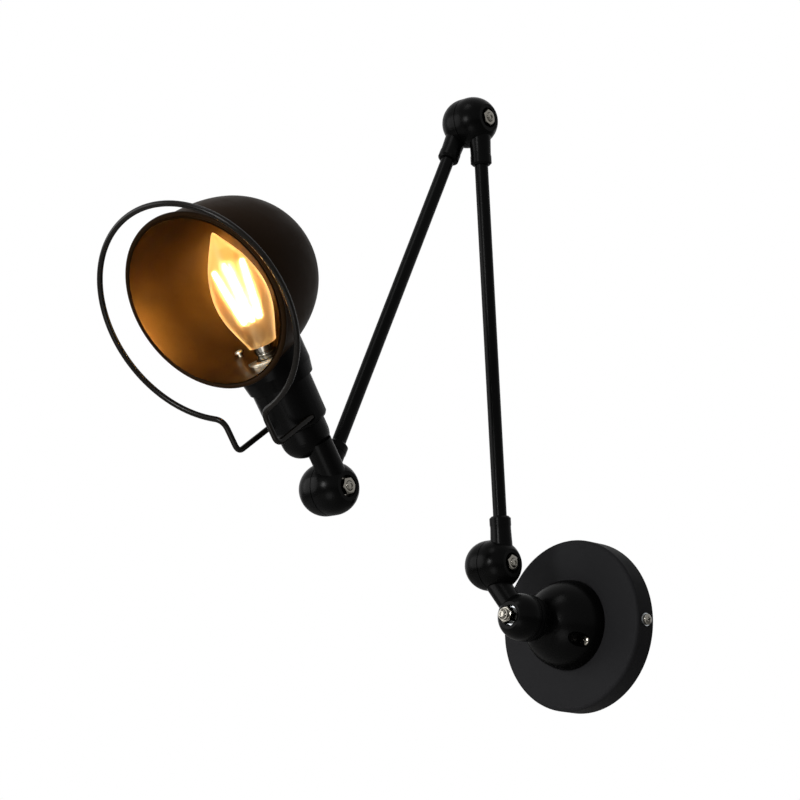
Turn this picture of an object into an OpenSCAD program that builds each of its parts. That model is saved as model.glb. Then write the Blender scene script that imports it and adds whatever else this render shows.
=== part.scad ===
// Articulated wall lamp with two tube arms, ball knuckles and a guarded bowl shade.
// The wall is the plane y = 0, the lamp stands out of it along -Y, and +Z is up.

/* [Wall plate] */
// Diameter of the round wall plate
plate_d = 120; // [110:1:150]
// How far the plate stands out from the wall
plate_depth = 17; // [16:0.5:25]
// Sheet thickness of the plate
plate_wall = 1.2; // [0.8:0.1:2]
// Rounding of the plate's front edge
plate_round = 2.5; // [2:0.1:5]
// Diameter of the supply holes in the bracket and the plate
supply_hole_d = 18; // [12:1:19]

/* [Wall bracket] */
// Width of the bracket strap
strap_w = 30; // [26:1:36]
// Thickness of the bracket strap
strap_t = 2; // [1.5:0.1:2.5]
// Distance between the two wall screws
wall_screw_spacing = 60; // [58:1:70]
// Width of each wall screw slot
slot_w = 5.2; // [4:0.1:6]
// End to end length of each wall screw slot
slot_len = 14; // [10:1:15]
// Width of the two bent tabs that take the side screws
tab_w = 16; // [12:1:20]
// Distance of the side screws from the wall
side_screw_out = 8.5; // [8:0.1:10]

/* [Terminal block] */
// Size of the block across the strap, along the wires
block_w = 10; // [8:0.5:11]
// Length of the block
block_len = 24; // [20:1:28]
// Room left between the block and the plate's front, for the nuts there
block_room = 6; // [5.4:0.1:8]
// Distance between neighbouring terminals
terminal_pitch = 7.5; // [6:0.1:8]

/* [Hub dome] */
// Radius of the two halves of the hub knuckle
hub_ball_r = 16.2; // [15.5:0.1:17.5]
// Length of the straight neck between the dome and the hub knuckle
hub_neck_len = 2.5; // [1:0.1:4]
// Radius of the hemispherical dome on the plate
dome_r = 31.5; // [30:0.5:40]
// Wall of the dome
dome_wall = 2.5; // [2:0.1:3.5]
// Metal left between the dome's ceiling and the hub knuckle
dome_neck_t = 7; // [5:0.5:8]
// Distance of the dome screws inside the dome's edge
dome_screw_inset = 5.5; // [5:0.1:7]
// Turn of the dome screws below the level line
dome_screw_turn = -30.7; // [-60:0.1:0]
// Diameter of the pocket over each dome screw
pocket_d = 10; // [9:0.1:11]
// Thickness of the pocket's floor
pocket_floor_t = 9.7; // [8.5:0.1:10.5]

/* [Ball knuckles] */
// Radius of a knuckle half
ball_r = 17.5; // [16.5:0.1:19]
// Length of the straight band beside the parting face of a half
ball_band = 3; // [2:0.1:4]
// Thickness of the friction disc between two halves
disc_t = 0.6; // [0.5:0.05:1]
// How far the friction disc stays inside the knuckle's outline
disc_inset = 2.5; // [1:0.1:4]
// Diameter of the recess over nut and bolt head
recess_d = 14.4; // [14:0.1:15]
// Depth of that recess
recess_depth = 5; // [4:0.1:5.5]
// Distance of a stem's axis from the parting plane
stem_off = 8.3; // [8:0.05:8.6]
// Diameter of a stem
stem_d = 14.4; // [13:0.1:15]
// Diameter of a stem where it leaves its ball
stem_root_d = 15.6; // [15.1:0.1:15.9]
// Distance from a ball's centre to the end of its tube collar
knuckle_reach = 33; // [30:0.5:40]
// The same distance at the lower end of the upper arm
wrist_reach = 37; // [30:0.5:42]

/* [Link] */
// How far the first ball stands beside the hub axis
link_side = 22.5; // [20:0.1:26]
// How far the first ball stands over the hub axis
link_rise = 37.5; // [37:0.1:45]
// How far the first ball stands in front of the hub's parting plane
link_reach = 6.3; // [5.5:0.1:8]
// Diameter of the link's neck
link_neck_d = 16.5; // [15:0.5:18]
// How far the neck's axis is set towards the lamp's middle
link_neck_shift = 1.8; // [0:0.1:2.5]

/* [Arms] */
// Distance between the ball centres of an arm
arm_len = 315; // [220:5:400]
// Outer diameter of the arm tubes
tube_d = 9.5; // [9:0.1:11]
// Wall of the arm tubes
tube_wall = 1; // [0.8:0.1:1.2]
// Depth that a tube goes into its stem
tube_insert = 7; // [5:0.5:9]
// Length of a tube collar
collar_len = 6.5; // [5:0.5:8]
// Diameter of a tube collar
collar_d = 14.9; // [14:0.1:15.4]
// Chamfer on the tube side of a collar
collar_chamfer = 1.4; // [1:0.1:2]
// Diameter of the sheathed cable in the arms
cable_d = 6.4; // [5:0.1:6.5]
// Diameter of the cable passage in the stems
passage_d = 7; // [6.8:0.1:7.4]

/* [Pose] */
// Lean of the lower arm away from the wall
lower_angle = 5; // [-5:0.5:60]
// Direction of the upper arm, turned from straight up
upper_angle = 154.5; // [100:0.5:158]
// Direction of the head, turned from straight up
head_tilt = 36.5; // [20:0.5:80]
// Turn of the lamp housing about the head's own axis
head_lean = 4; // [-10:0.5:10]

/* [Head] */
// Radius of the round cup on the head knuckle
cup_r = 16.3; // [16:0.1:17]
// Height of the cup's lowest point over the ball's centre
cup_base = 25.5; // [24:0.5:28]
// Height of the cup's rounded bottom
cup_rise = 15; // [12:0.5:16]
// Whole height of the cup, up to the face where the housing sits
cup_len = 21.5; // [20:0.5:24]
// Wall of the cup
cup_wall = 2; // [1.5:0.1:2.5]
// Outer radius of the socket housing at its foot
housing_r = 19.5; // [19:0.1:20]
// How much the housing widens up to its top
housing_flare = 0.6; // [0.2:0.1:0.7]
// Sheet thickness of the housing
housing_wall = 1.2; // [0.8:0.1:1.5]
// Length of the housing
housing_len = 44; // [40:0.5:45]
// Wall of the shade collar
shade_collar_wall = 3.2; // [3:0.1:4]
// How far the collar's outside is set towards the bowl's back
shade_collar_shift = 0.8; // [0:0.1:1]
// How far the collar reaches down over the housing
shade_collar_lap = 13.5; // [12:0.5:17]
// Height of the bevel on the collar's lower edge
shade_collar_bevel = 7; // [4:0.5:9]

/* [Shade] */
// Gap between the housing's top and the bowl's side
shade_gap = 2.2; // [1.8:0.1:4]
// Distance of the rim plane in front of the head axis
rim_out = 34.2; // [30:0.1:36]
// Radius of the bowl just behind its rim
shade_r = 57; // [56:0.5:61]
// Depth of the bowl
shade_depth = 85.4; // [80:0.2:95]
// Exponent of the bowl's curve, 2 being an ellipse
shade_power = 2.6; // [2.3:0.05:2.8]
// Sheet thickness of the bowl
shade_wall = 1; // [0.8:0.1:1.2]
// Diameter of the rolled bead on the rim
bead_d = 3.4; // [3.1:0.1:4]
// How far the bead stands out over the bowl
bead_out = 3; // [2:0.1:3.1]
// Radius of the hole for the lampholder
shade_hole_r = 17; // [15.5:0.5:18]

/* [Lampholder and bulb] */
// Outer radius of the lampholder's body
holder_r = 12.5; // [11:0.1:13]
// Height of the lampholder's foot over the cup
holder_rise = 13; // [11:0.5:15]
// Length of the lampholder
holder_len = 33; // [31:0.5:36]
// Radius of the metal ring on the lampholder
ring_r = 14; // [13:0.1:15]
// Thickness of that ring
ring_t = 3.5; // [2.5:0.1:4]
// Radius of the bulb's screw cap
bulb_cap_r = 7; // [6.8:0.05:7.1]
// Length of the cap that shows between the ring and the glass
cap_show = 9; // [6:0.5:12]
// Length of the glass
glass_len = 78; // [70:1:80]
// Largest radius of the glass
glass_r = 17.7; // [16:0.1:19]
// Wall of the glass
glass_wall = 0.7; // [0.5:0.1:1]
// Length of a filament
filament_len = 36; // [25:1:38]
// Diameter of a filament
filament_d = 1.8; // [1.4:0.1:2.4]

/* [Wire guard] */
// Diameter of the guard's wire
guard_d = 3.8; // [3:0.1:4.2]
// Distance of the ring's wire outside the rim
guard_wider = 13.2; // [8:0.1:20]
// How far the ring's centre lies below the shade's axis
guard_drop = 3.4; // [1:0.1:6]
// Distance of the ring in front of the rim
guard_gap = 10.2; // [6:0.1:14]
// How far the corners of the feet lie behind the ring
foot_back = 0.4; // [0.2:0.1:5]
// Height of the feet over the housing's foot
foot_rise = 5.4; // [5.2:0.1:9]
// Turn of the guard in its own plane, which sets its feet to the left
guard_turn = 0.6; // [-2:0.1:2]
// How far each foot stays inside the housing's side
foot_inset = 2.8; // [2.7:0.1:3.6]

/* [Hidden] */
// Fineness of the round surfaces
$fn = 96;
// Radial clearance of a bolt that turns in its bore
run_gap = 0.05;
// Radial clearance of a fixed piece in its seat
seat_gap = 0.1;
// Clearance between two curved surfaces that pass each other
pass_gap = 0.6;
// Overrun of a cutting tool past a face
cut = 1;
half_gap = disc_t / 2;
plate_r = plate_d / 2;

// Metric fasteners, all by their nominal size
joint_bolt_d = 6;
joint_nut_af = 10;
joint_nut_h = 5;
joint_head_d = 10;
joint_head_h = 4.4;
hub_bolt_d = 6;
hub_nut_af = 10;
hub_nut_h = 7.5;
hub_nut_collar_d = 8.2;
hub_nut_collar_h = 2;
hub_head_d = 10;
hub_head_h = 4;
hub_bolt_end = 8;
hub_washer_t = 2;
washer_t = 1;
washer_d = 13.2;
hex_corner = 2 / sqrt(3);
small_screw_d = 4;
small_head_d = 7.6;
small_head_h = 2.5;
small_nut_af = 7;
small_nut_h = 3.2;
tab_t = 2;

// Heights over the head ball's centre
cup_top = cup_base + cup_len;
housing_top = cup_top + housing_len;
holder_from = cup_top + holder_rise;
holder_top = holder_from + holder_len;
glass_from = holder_top + ring_t + cap_show;
shade_axis_h = housing_top + shade_gap + shade_r;
guard_h = shade_axis_h - guard_drop;
foot_h = cup_top + foot_rise;

// Distances from the wall to the hub's parting plane
hub_flat_r = sqrt(pow(hub_ball_r, 2) - pow(hub_ball_r - ball_band, 2));
dome_rise = sqrt(pow(dome_r, 2) - pow(hub_flat_r, 2));
hub_out = plate_depth + dome_rise + hub_neck_len + hub_ball_r;
dome_ceiling = plate_depth + dome_rise - dome_neck_t;
dome_screw_circle_r = dome_r - dome_screw_inset;

// Ball centres
ball_1 = [-link_side, -(hub_out + link_reach), link_rise];
ball_2 = ball_1 + arm_len * [0, -sin(lower_angle), cos(lower_angle)];
ball_3 = ball_2 + arm_len * [0, -sin(upper_angle), cos(upper_angle)];

// Local Z points out of the wall
module outward() {
    rotate([90, 0, 0]) children();
}

// Local Z runs along an arm, from its first ball to its second
module lower_frame() {
    translate(ball_1) rotate([lower_angle, 0, 0]) children();
}

module upper_frame() {
    translate(ball_2) rotate([upper_angle, 0, 0]) children();
}

// The far end of an arm, looking back along it
module far_end() {
    translate([0, 0, arm_len]) mirror([0, 0, 1]) children();
}

module head_frame() {
    translate(ball_3) rotate([head_tilt, 0, 0]) children();
}

// Local Z is the head axis and local -Y the direction that the shade opens to
module lamp_frame() {
    head_frame() rotate([0, 0, head_lean]) children();
}

module hex_prism(across_flats, h) {
    cylinder(h = h, d = across_flats * hex_corner, $fn = 6);
}

module ring(outer_r, inner_r, h) {
    difference() {
        cylinder(h = h, r = outer_r);
        translate([0, 0, -cut]) cylinder(h = h + 2 * cut, r = inner_r);
    }
}

module rod_between(a, b, r) {
    v = b - a;
    translate(a) rotate([0, acos(v.z / norm(v)), atan2(v.y, v.x)]) cylinder(h = norm(v), r = r);
}

// Pan head screw with a cross recess, head upwards from z = 0 and shank below
module pan_screw(shank_d, shank_len, head_d, head_h) {
    edge = head_h * 0.35;
    arm_w = head_d * 0.14;
    arm_l = head_d * 0.56;
    recess_h = head_h * 0.6;
    difference() {
        union() {
            translate([0, 0, -shank_len]) cylinder(h = shank_len + head_h / 2, d = shank_d);
            cylinder(h = head_h - edge, d = head_d);
            translate([0, 0, head_h - edge]) cylinder(h = edge, d1 = head_d, d2 = head_d - 2 * edge);
        }
        for (a = [0, 90]) {
            rotate([0, 0, a]) translate([-arm_l / 2, -arm_w / 2, head_h - recess_h]) cube([arm_l, arm_w, head_h]);
        }
    }
}

// Wall bracket: a strap flat on the wall with a tab bent out at each end
plate_in_r = plate_r - plate_wall;
tab_gap = 0.35;
tab_x = sqrt(pow(plate_in_r - tab_gap, 2) - pow(tab_w / 2, 2));
tab_margin = 4.5;
tab_out = side_screw_out + tab_margin;
earth_x = -(supply_hole_d / 2 + 7);

module slot_cut(x, w, len) {
    translate([x - (len - w) / 2, -w / 2, -cut]) cube([len - w, w, strap_t + 2 * cut]);
    for (s = [-1, 1]) {
        translate([x + s * (len - w) / 2, 0, -cut]) cylinder(h = strap_t + 2 * cut, d = w);
    }
}

module wall_bracket() {
    color("#b9bcc0") outward() difference() {
        union() {
            translate([-tab_x, -strap_w / 2, 0]) cube([2 * tab_x, strap_w, strap_t]);
            for (s = [-1, 1]) {
                translate([s > 0 ? tab_x - tab_t : -tab_x, -tab_w / 2, 0]) cube([tab_t, tab_w, tab_out]);
            }
        }
        translate([0, 0, -cut]) cylinder(h = strap_t + 2 * cut, d = supply_hole_d);
        for (s = [-1, 1]) {
            slot_cut(s * wall_screw_spacing / 2, slot_w, slot_len);
            translate([s * (tab_x + cut), 0, side_screw_out]) rotate([0, -90 * s, 0])
                cylinder(h = tab_t + 2 * cut, d = small_screw_d + 2 * seat_gap);
            // The strap is cut back beside each tab so that it clears the round rim
            for (t = [-1, 1]) {
                translate([s * (tab_x - tab_t - cut), t * (tab_w / 2 + strap_w / 4 + cut / 2), strap_t / 2])
                    translate([s * strap_w / 4, 0, 0])
                        cube([strap_w / 2, strap_w / 2 + cut, strap_t + 2 * cut], center = true);
            }
        }
        translate([earth_x, 0, -cut]) cylinder(h = strap_t + 2 * cut, d = small_screw_d + 2 * seat_gap);
    }
}
wall_bracket();

// Wall plate: a drawn steel cup with a rounded front edge
module plate_outline(r, depth, round_r) {
    union() {
        square([r - round_r, depth]);
        square([r, depth - round_r]);
        translate([r - round_r, depth - round_r]) intersection() {
            circle(r = round_r);
            square(round_r);
        }
    }
}

module wall_plate() {
    color("#1b1b1c") outward() difference() {
        rotate_extrude() plate_outline(plate_r, plate_depth, plate_round);
        translate([0, 0, -cut]) rotate_extrude()
            plate_outline(plate_in_r, plate_depth - plate_wall + cut, plate_round - plate_wall);
        translate([0, 0, plate_depth - plate_wall - cut]) cylinder(h = plate_wall + 2 * cut, d = supply_hole_d);
        for (s = [-1, 1]) {
            translate([s * (plate_r + cut), 0, side_screw_out]) rotate([0, -90 * s, 0])
                cylinder(h = plate_wall + 4 * cut, d = small_screw_d + 4 * seat_gap);
            rotate([0, 0, dome_screw_turn]) translate([s * dome_screw_circle_r, 0, plate_depth - plate_wall - cut])
                cylinder(h = plate_wall + 2 * cut, d = small_screw_d + 2 * seat_gap);
        }
    }
}
wall_plate();

// Side screws: they go through the plate's rim into the bracket's tabs
side_washer_t = 0.8;
side_washer_d = 9;
side_screw_len = plate_r + side_washer_t - tab_x + tab_t + 2;

module at_side_screws() {
    outward() for (s = [-1, 1]) {
        translate([s * (plate_r + side_washer_t), 0, side_screw_out]) rotate([0, 90 * s, 0]) children();
    }
}

module side_screws() {
    color("#b4b6b8") at_side_screws() pan_screw(small_screw_d, side_screw_len, small_head_d, small_head_h);
}
side_screws();

module side_washers() {
    color("#b4b6b8") at_side_screws() translate([0, 0, -side_washer_t])
        ring(side_washer_d / 2, small_screw_d / 2 + seat_gap, side_washer_t);
}
side_washers();

// Dome: a cast hemisphere that ends in the fixed half of the hub knuckle
module half_ball(r) {
    rotate_extrude() union() {
        translate([0, half_gap]) square([r, ball_band - half_gap]);
        intersection() {
            translate([0, ball_band]) circle(r = r);
            translate([0, ball_band]) square([r, r - ball_band]);
        }
    }
}

// The space that the opposite half needs, with its running clearance
module half_ball_space(r) {
    translate([0, 0, -half_gap]) cylinder(h = ball_band + half_gap, r = r + pass_gap);
    translate([0, 0, ball_band]) sphere(r = r + pass_gap);
}

module at_dome_screws() {
    for (s = [-1, 1]) {
        rotate([0, 0, dome_screw_turn]) translate([s * dome_screw_circle_r, 0, 0]) children();
    }
}

pocket_seat = plate_depth + pocket_floor_t;
boss_d = pocket_d + 3;

module dome_solid(r) {
    intersection() {
        translate([0, 0, plate_depth]) sphere(r = r);
        translate([0, 0, plate_depth]) cylinder(h = r + cut, r = r + cut);
    }
}

module dome() {
    color("#1b1b1c") outward() difference() {
        union() {
            difference() {
                dome_solid(dome_r);
                intersection() {
                    translate([0, 0, plate_depth]) sphere(r = dome_r - dome_wall);
                    translate([0, 0, plate_depth - cut]) cylinder(h = dome_ceiling - plate_depth + cut, r = dome_r);
                }
            }
            intersection() {
                at_dome_screws() translate([0, 0, plate_depth]) cylinder(h = dome_r, d = boss_d);
                dome_solid(dome_r);
            }
            translate([0, 0, dome_ceiling]) cylinder(h = dome_neck_t + hub_neck_len + cut, r = hub_flat_r);
            translate([0, 0, hub_out]) mirror([0, 0, 1]) half_ball(hub_ball_r);
        }
        at_dome_screws() {
            translate([0, 0, pocket_seat]) cylinder(h = dome_r, d = pocket_d);
            translate([0, 0, plate_depth - cut])
                cylinder(h = pocket_floor_t + 2 * cut, d = small_screw_d + 2 * seat_gap);
        }
        translate([0, 0, dome_ceiling - cut]) cylinder(h = hub_out, d = hub_bolt_d + 2 * run_gap);
    }
}
dome();

// Dome screws and the nuts behind the plate's front
dome_nut_from = plate_depth - plate_wall - small_nut_h;
dome_screw_len = pocket_seat - dome_nut_from + 1;

module dome_screws() {
    color("#a9abad") outward() at_dome_screws() translate([0, 0, pocket_seat])
        pan_screw(small_screw_d, dome_screw_len, small_head_d, small_head_h);
}
dome_screws();

module dome_nuts() {
    color("#a9abad") outward() at_dome_screws() translate([0, 0, dome_nut_from]) difference() {
        hex_prism(small_nut_af, small_nut_h);
        translate([0, 0, -cut]) cylinder(h = small_nut_h + 2 * cut, d = small_screw_d + 2 * seat_gap);
    }
}
dome_nuts();

// Terminal block on the strap, with its three clamp screws, and the earth screw
block_x = supply_hole_d / 2 + 2 + block_w / 2;
block_h = plate_depth - strap_t - block_room;
terminal_screw_d = 3.2;
terminal_screw_h = 2.4;
terminal_pocket_h = 3.4;
wire_bore_d = 3;

module terminal_block() {
    color("#d9d6cc") outward() translate([block_x, 0, strap_t]) difference() {
        translate([-block_w / 2, -block_len / 2, 0]) cube([block_w, block_len, block_h]);
        for (i = [-1:1]) {
            translate([0, i * terminal_pitch, block_h - terminal_pocket_h])
                cylinder(h = terminal_pocket_h + cut, d = terminal_screw_d + 2 * seat_gap);
            translate([-block_w / 2 - cut, i * terminal_pitch, (block_h - terminal_pocket_h) / 2]) rotate([0, 90, 0])
                cylinder(h = block_w + 2 * cut, d = wire_bore_d);
        }
    }
}
terminal_block();

module terminal_screws() {
    slot_w_small = 0.6;
    slot_h_small = 0.8;
    color("#c8a24a") outward() for (i = [-1:1]) {
        translate([block_x, i * terminal_pitch, strap_t + block_h - terminal_pocket_h]) difference() {
            cylinder(h = terminal_screw_h, d = terminal_screw_d);
            translate([-terminal_screw_d, -slot_w_small / 2, terminal_screw_h - slot_h_small])
                cube([2 * terminal_screw_d, slot_w_small, slot_h_small + cut]);
        }
    }
}
terminal_screws();

module earth_screw() {
    color("#c8a24a") outward() translate([earth_x, 0, strap_t])
        pan_screw(small_screw_d, strap_t, small_head_d, small_head_h);
}
earth_screw();

// Hub bolt: its head is inside the dome, its nut in the link's recess
hub_washer_seat = hub_out + hub_ball_r - recess_depth;
hub_nut_seat = hub_washer_seat + hub_washer_t;
hub_tip = hub_out + hub_ball_r + hub_bolt_end;

module bolt_tip(d, len) {
    dimple = 0.8;
    bevel = 0.7;
    difference() {
        union() {
            cylinder(h = len - bevel, d = d);
            translate([0, 0, len - bevel]) cylinder(h = bevel, d1 = d, d2 = d - 2 * bevel);
        }
        translate([0, 0, len - dimple]) cylinder(h = dimple + cut, d = d * 0.5);
    }
}

module hub_bolt() {
    color("#c3c4c4") outward() {
        translate([0, 0, dome_ceiling - hub_head_h]) hex_prism(hub_head_d, hub_head_h);
        translate([0, 0, dome_ceiling - hub_head_h / 2])
            bolt_tip(hub_bolt_d, hub_tip - dome_ceiling + hub_head_h / 2);
    }
}
hub_bolt();

module hub_washer() {
    color("#a9abad") outward() translate([0, 0, hub_washer_seat])
        ring(washer_d / 2, hub_bolt_d / 2 + run_gap, hub_washer_t);
}
hub_washer();

module bevelled_nut(across_flats, h, bore_d) {
    bevel = across_flats * (hex_corner - 1) / 2;
    difference() {
        intersection() {
            hex_prism(across_flats, h);
            union() {
                cylinder(h = h - bevel, d = across_flats * hex_corner + cut);
                translate([0, 0, h - bevel])
                    cylinder(h = bevel, d1 = across_flats * hex_corner, d2 = across_flats * 0.97);
            }
        }
        translate([0, 0, -cut]) cylinder(h = h + 2 * cut, d = bore_d);
    }
}

// Lock nut: a hexagon with a round collar on its outer face
module hub_nut() {
    color("#c3c4c4") outward() translate([0, 0, hub_nut_seat]) {
        bevelled_nut(hub_nut_af, hub_nut_h, hub_bolt_d + 2 * run_gap);
        translate([0, 0, hub_nut_h / 2])
            ring(hub_nut_collar_d / 2, hub_bolt_d / 2 + run_gap, hub_nut_h / 2 + hub_nut_collar_h);
    }
}
hub_nut();

module friction_disc(r, bolt_d) {
    translate([0, 0, -half_gap]) ring(r - disc_inset, bolt_d / 2 + seat_gap, disc_t);
}

module hub_disc() {
    color("#2a2521") outward() translate([0, 0, hub_out]) friction_disc(hub_ball_r, hub_bolt_d);
}
hub_disc();

// Cuts of a bolted half: bore for the bolt and recess for nut or head
module bolt_cuts(r, bolt_d) {
    translate([0, 0, -cut]) cylinder(h = r + 2 * cut, d = bolt_d + 2 * run_gap);
    translate([0, 0, r - recess_depth]) cylinder(h = recess_depth + cut, d = recess_d);
}

// Link: outer half of the hub, left half of the first ball, and the neck between them
link_neck_out = 7;

module link() {
    hub_point = [link_neck_shift, -(hub_out + link_neck_out), 0];
    ball_point = [ball_1.x - stem_off + link_neck_shift, -(hub_out + link_neck_out), ball_1.z];
    color("#1b1b1c") difference() {
        union() {
            outward() translate([0, 0, hub_out]) half_ball(hub_ball_r);
            translate(ball_1) rotate([0, -90, 0]) half_ball(ball_r);
            difference() {
                rod_between(ball_point, hub_point, link_neck_d / 2);
                translate(ball_1) rotate([0, 90, 0]) half_ball_space(ball_r);
                outward() translate([0, 0, hub_out]) mirror([0, 0, 1]) half_ball_space(hub_ball_r);
            }
        }
        outward() translate([0, 0, hub_out]) bolt_cuts(hub_ball_r, hub_bolt_d);
        translate(ball_1) rotate([0, -90, 0]) bolt_cuts(ball_r, joint_bolt_d);
    }
}
link();

// Arm knuckles: half a ball with a hollow stem that takes the tube
root_from = 9;
root_to = 24;

module knuckle(side, reach) {
    stem_end = reach - collar_len;
    difference() {
        union() {
            rotate([0, 90 * side, 0]) half_ball(ball_r);
            translate([side * stem_off, 0, 0]) cylinder(h = stem_end, d = stem_d);
            translate([side * stem_off, 0, root_from])
                cylinder(h = min(root_to, stem_end) - root_from, d1 = stem_root_d, d2 = stem_d);
        }
        rotate([0, 90 * side, 0]) bolt_cuts(ball_r, joint_bolt_d);
        translate([side * stem_off, 0, joint_bolt_d / 2]) cylinder(h = stem_end, d = passage_d);
        translate([side * stem_off, 0, stem_end - tube_insert])
            cylinder(h = tube_insert + cut, d = tube_d + 2 * seat_gap);
    }
}

module lower_knuckle() {
    color("#1b1b1c") lower_frame() knuckle(1, knuckle_reach);
}
lower_knuckle();

module lower_elbow() {
    color("#1b1b1c") lower_frame() far_end() knuckle(1, knuckle_reach);
}
lower_elbow();

module upper_elbow() {
    color("#1b1b1c") upper_frame() knuckle(-1, knuckle_reach);
}
upper_elbow();

module upper_wrist() {
    color("#1b1b1c") upper_frame() far_end() knuckle(-1, wrist_reach);
}
upper_wrist();

// Tubes, each pushed into its two stems and held by two collars
module arm_tube(side, reach_a, reach_b) {
    from = reach_a - collar_len - tube_insert;
    to = arm_len - (reach_b - collar_len - tube_insert);
    translate([side * stem_off, 0, from]) ring(tube_d / 2, tube_d / 2 - tube_wall, to - from);
}

module tube_collar(side, reach) {
    translate([side * stem_off, 0, reach - collar_len]) difference() {
        union() {
            cylinder(h = collar_len - collar_chamfer, d = collar_d);
            translate([0, 0, collar_len - collar_chamfer])
                cylinder(h = collar_chamfer, d1 = collar_d, d2 = collar_d - 2 * collar_chamfer);
        }
        translate([0, 0, -cut]) cylinder(h = collar_len + 2 * cut, d = tube_d + 2 * seat_gap);
    }
}

module lower_tube() {
    color("#1b1b1c") lower_frame() arm_tube(1, knuckle_reach, knuckle_reach);
}
lower_tube();

module upper_tube() {
    color("#1b1b1c") upper_frame() arm_tube(-1, knuckle_reach, wrist_reach);
}
upper_tube();

module lower_collars() {
    color("#1b1b1c") lower_frame() {
        tube_collar(1, knuckle_reach);
        far_end() tube_collar(1, knuckle_reach);
    }
}
lower_collars();

module upper_collars() {
    color("#1b1b1c") upper_frame() {
        tube_collar(-1, knuckle_reach);
        far_end() tube_collar(-1, wrist_reach);
    }
}
upper_collars();

// Sheathed cable inside each arm, from just past one bolt to just before the next
cable_from = joint_bolt_d / 2 + 2;

module arm_cable(side) {
    translate([side * stem_off, 0, cable_from]) cylinder(h = arm_len - 2 * cable_from, d = cable_d);
}

module lower_cable() {
    color("#3a3a3a") lower_frame() arm_cable(1);
}
lower_cable();

module upper_cable() {
    color("#3a3a3a") upper_frame() arm_cable(-1);
}
upper_cable();

// Joint fasteners: nut and bolt end show on the +X side, the head on the -X side
washer_seat = ball_r - recess_depth;
nut_seat = washer_seat + washer_t;
joint_tip = nut_seat + joint_nut_h + 1.3;
key_af = 5;
key_depth = 2.6;

module joint_bolt() {
    rotate([0, 90, 0]) {
        difference() {
            translate([0, 0, -nut_seat - joint_head_h]) cylinder(h = joint_head_h, d = joint_head_d);
            translate([0, 0, -nut_seat - joint_head_h - cut]) hex_prism(key_af, key_depth + cut);
        }
        translate([0, 0, -nut_seat - cut]) bolt_tip(joint_bolt_d, nut_seat + joint_tip + cut);
    }
}

module joint_washers() {
    for (s = [-1, 1]) {
        rotate([0, 90 * s, 0]) translate([0, 0, washer_seat])
            ring(washer_d / 2, joint_bolt_d / 2 + run_gap, washer_t);
    }
}

module joint_nut() {
    rotate([0, 90, 0]) translate([0, 0, nut_seat])
        bevelled_nut(joint_nut_af, joint_nut_h, joint_bolt_d + 2 * run_gap);
}

module joint_disc() {
    rotate([0, 90, 0]) friction_disc(ball_r, joint_bolt_d);
}

module arm_bolts() {
    color("#c3c4c4") lower_frame() {
        joint_bolt();
        far_end() joint_bolt();
    }
}
arm_bolts();

module arm_washers() {
    color("#a9abad") lower_frame() {
        joint_washers();
        far_end() joint_washers();
    }
}
arm_washers();

module arm_nuts() {
    color("#c3c4c4") lower_frame() {
        joint_nut();
        far_end() joint_nut();
    }
}
arm_nuts();

module arm_discs() {
    color("#2a2521") lower_frame() {
        joint_disc();
        far_end() joint_disc();
    }
}
arm_discs();

// Head knuckle: right half of the third ball, its neck, and the round cup over it
cup_floor = cup_base + 8;
cup_power = 2.4;
cup_steps = 14;
neck_from = 8;
head_neck_d = 2 * (ball_r - stem_off);
nipple_d = 10;
nipple_boss_d = 14;
nipple_boss_h = 7;
nipple_from = cup_floor - 2;

function cup_profile() = concat(
    [for (i = [0:cup_steps]) let (a = 90 * i / cup_steps)
        [cup_r * pow(sin(a), 2 / cup_power), cup_base + cup_rise * (1 - pow(cos(a), 2 / cup_power))]],
    [[cup_r, cup_top], [0, cup_top]]
);

module head_knuckle() {
    color("#1b1b1c") head_frame() difference() {
        union() {
            rotate([0, 90, 0]) half_ball(ball_r);
            intersection() {
                translate([stem_off, 0, neck_from]) cylinder(h = cup_floor - neck_from, d = head_neck_d);
                translate([half_gap, -ball_r, 0]) cube([2 * ball_r, 2 * ball_r, cup_top]);
            }
            difference() {
                rotate_extrude() polygon(cup_profile());
                translate([0, 0, cup_floor]) cylinder(h = cup_top, r = cup_r - cup_wall);
            }
            translate([0, 0, cup_floor - cut]) cylinder(h = nipple_boss_h + cut, d = nipple_boss_d);
        }
        rotate([0, 90, 0]) bolt_cuts(ball_r, joint_bolt_d);
        translate([stem_off, 0, joint_bolt_d / 2]) cylinder(h = cup_floor + nipple_boss_h, d = passage_d);
        translate([0, 0, nipple_from]) cylinder(h = cup_top, d = nipple_d + 2 * seat_gap);
    }
}
head_knuckle();

module head_bolt() {
    color("#c3c4c4") head_frame() joint_bolt();
}
head_bolt();

module head_washers() {
    color("#a9abad") head_frame() joint_washers();
}
head_washers();

module head_nut() {
    color("#c3c4c4") head_frame() joint_nut();
}
head_nut();

module head_disc() {
    color("#2a2521") head_frame() joint_disc();
}
head_disc();

// Threaded nipple: hollow, cross drilled in the cup, it carries housing and lampholder
holder_foot_t = 6;
nipple_top = holder_from + holder_foot_t - 1;
nipple_hole_d = 7;
cross_hole_d = 4;
nipple_nut_af = 14;
nipple_nut_h = 3;

module nipple() {
    color("#c8a24a") lamp_frame() difference() {
        translate([0, 0, nipple_from]) cylinder(h = nipple_top - nipple_from, d = nipple_d);
        translate([0, 0, nipple_from - cut]) cylinder(h = nipple_top, d = nipple_hole_d);
        translate([-nipple_d, 0, cup_floor + nipple_boss_h + cross_hole_d / 2 + cut / 2]) rotate([0, 90, 0])
            cylinder(h = 2 * nipple_d, d = cross_hole_d);
    }
}
nipple();

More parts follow.
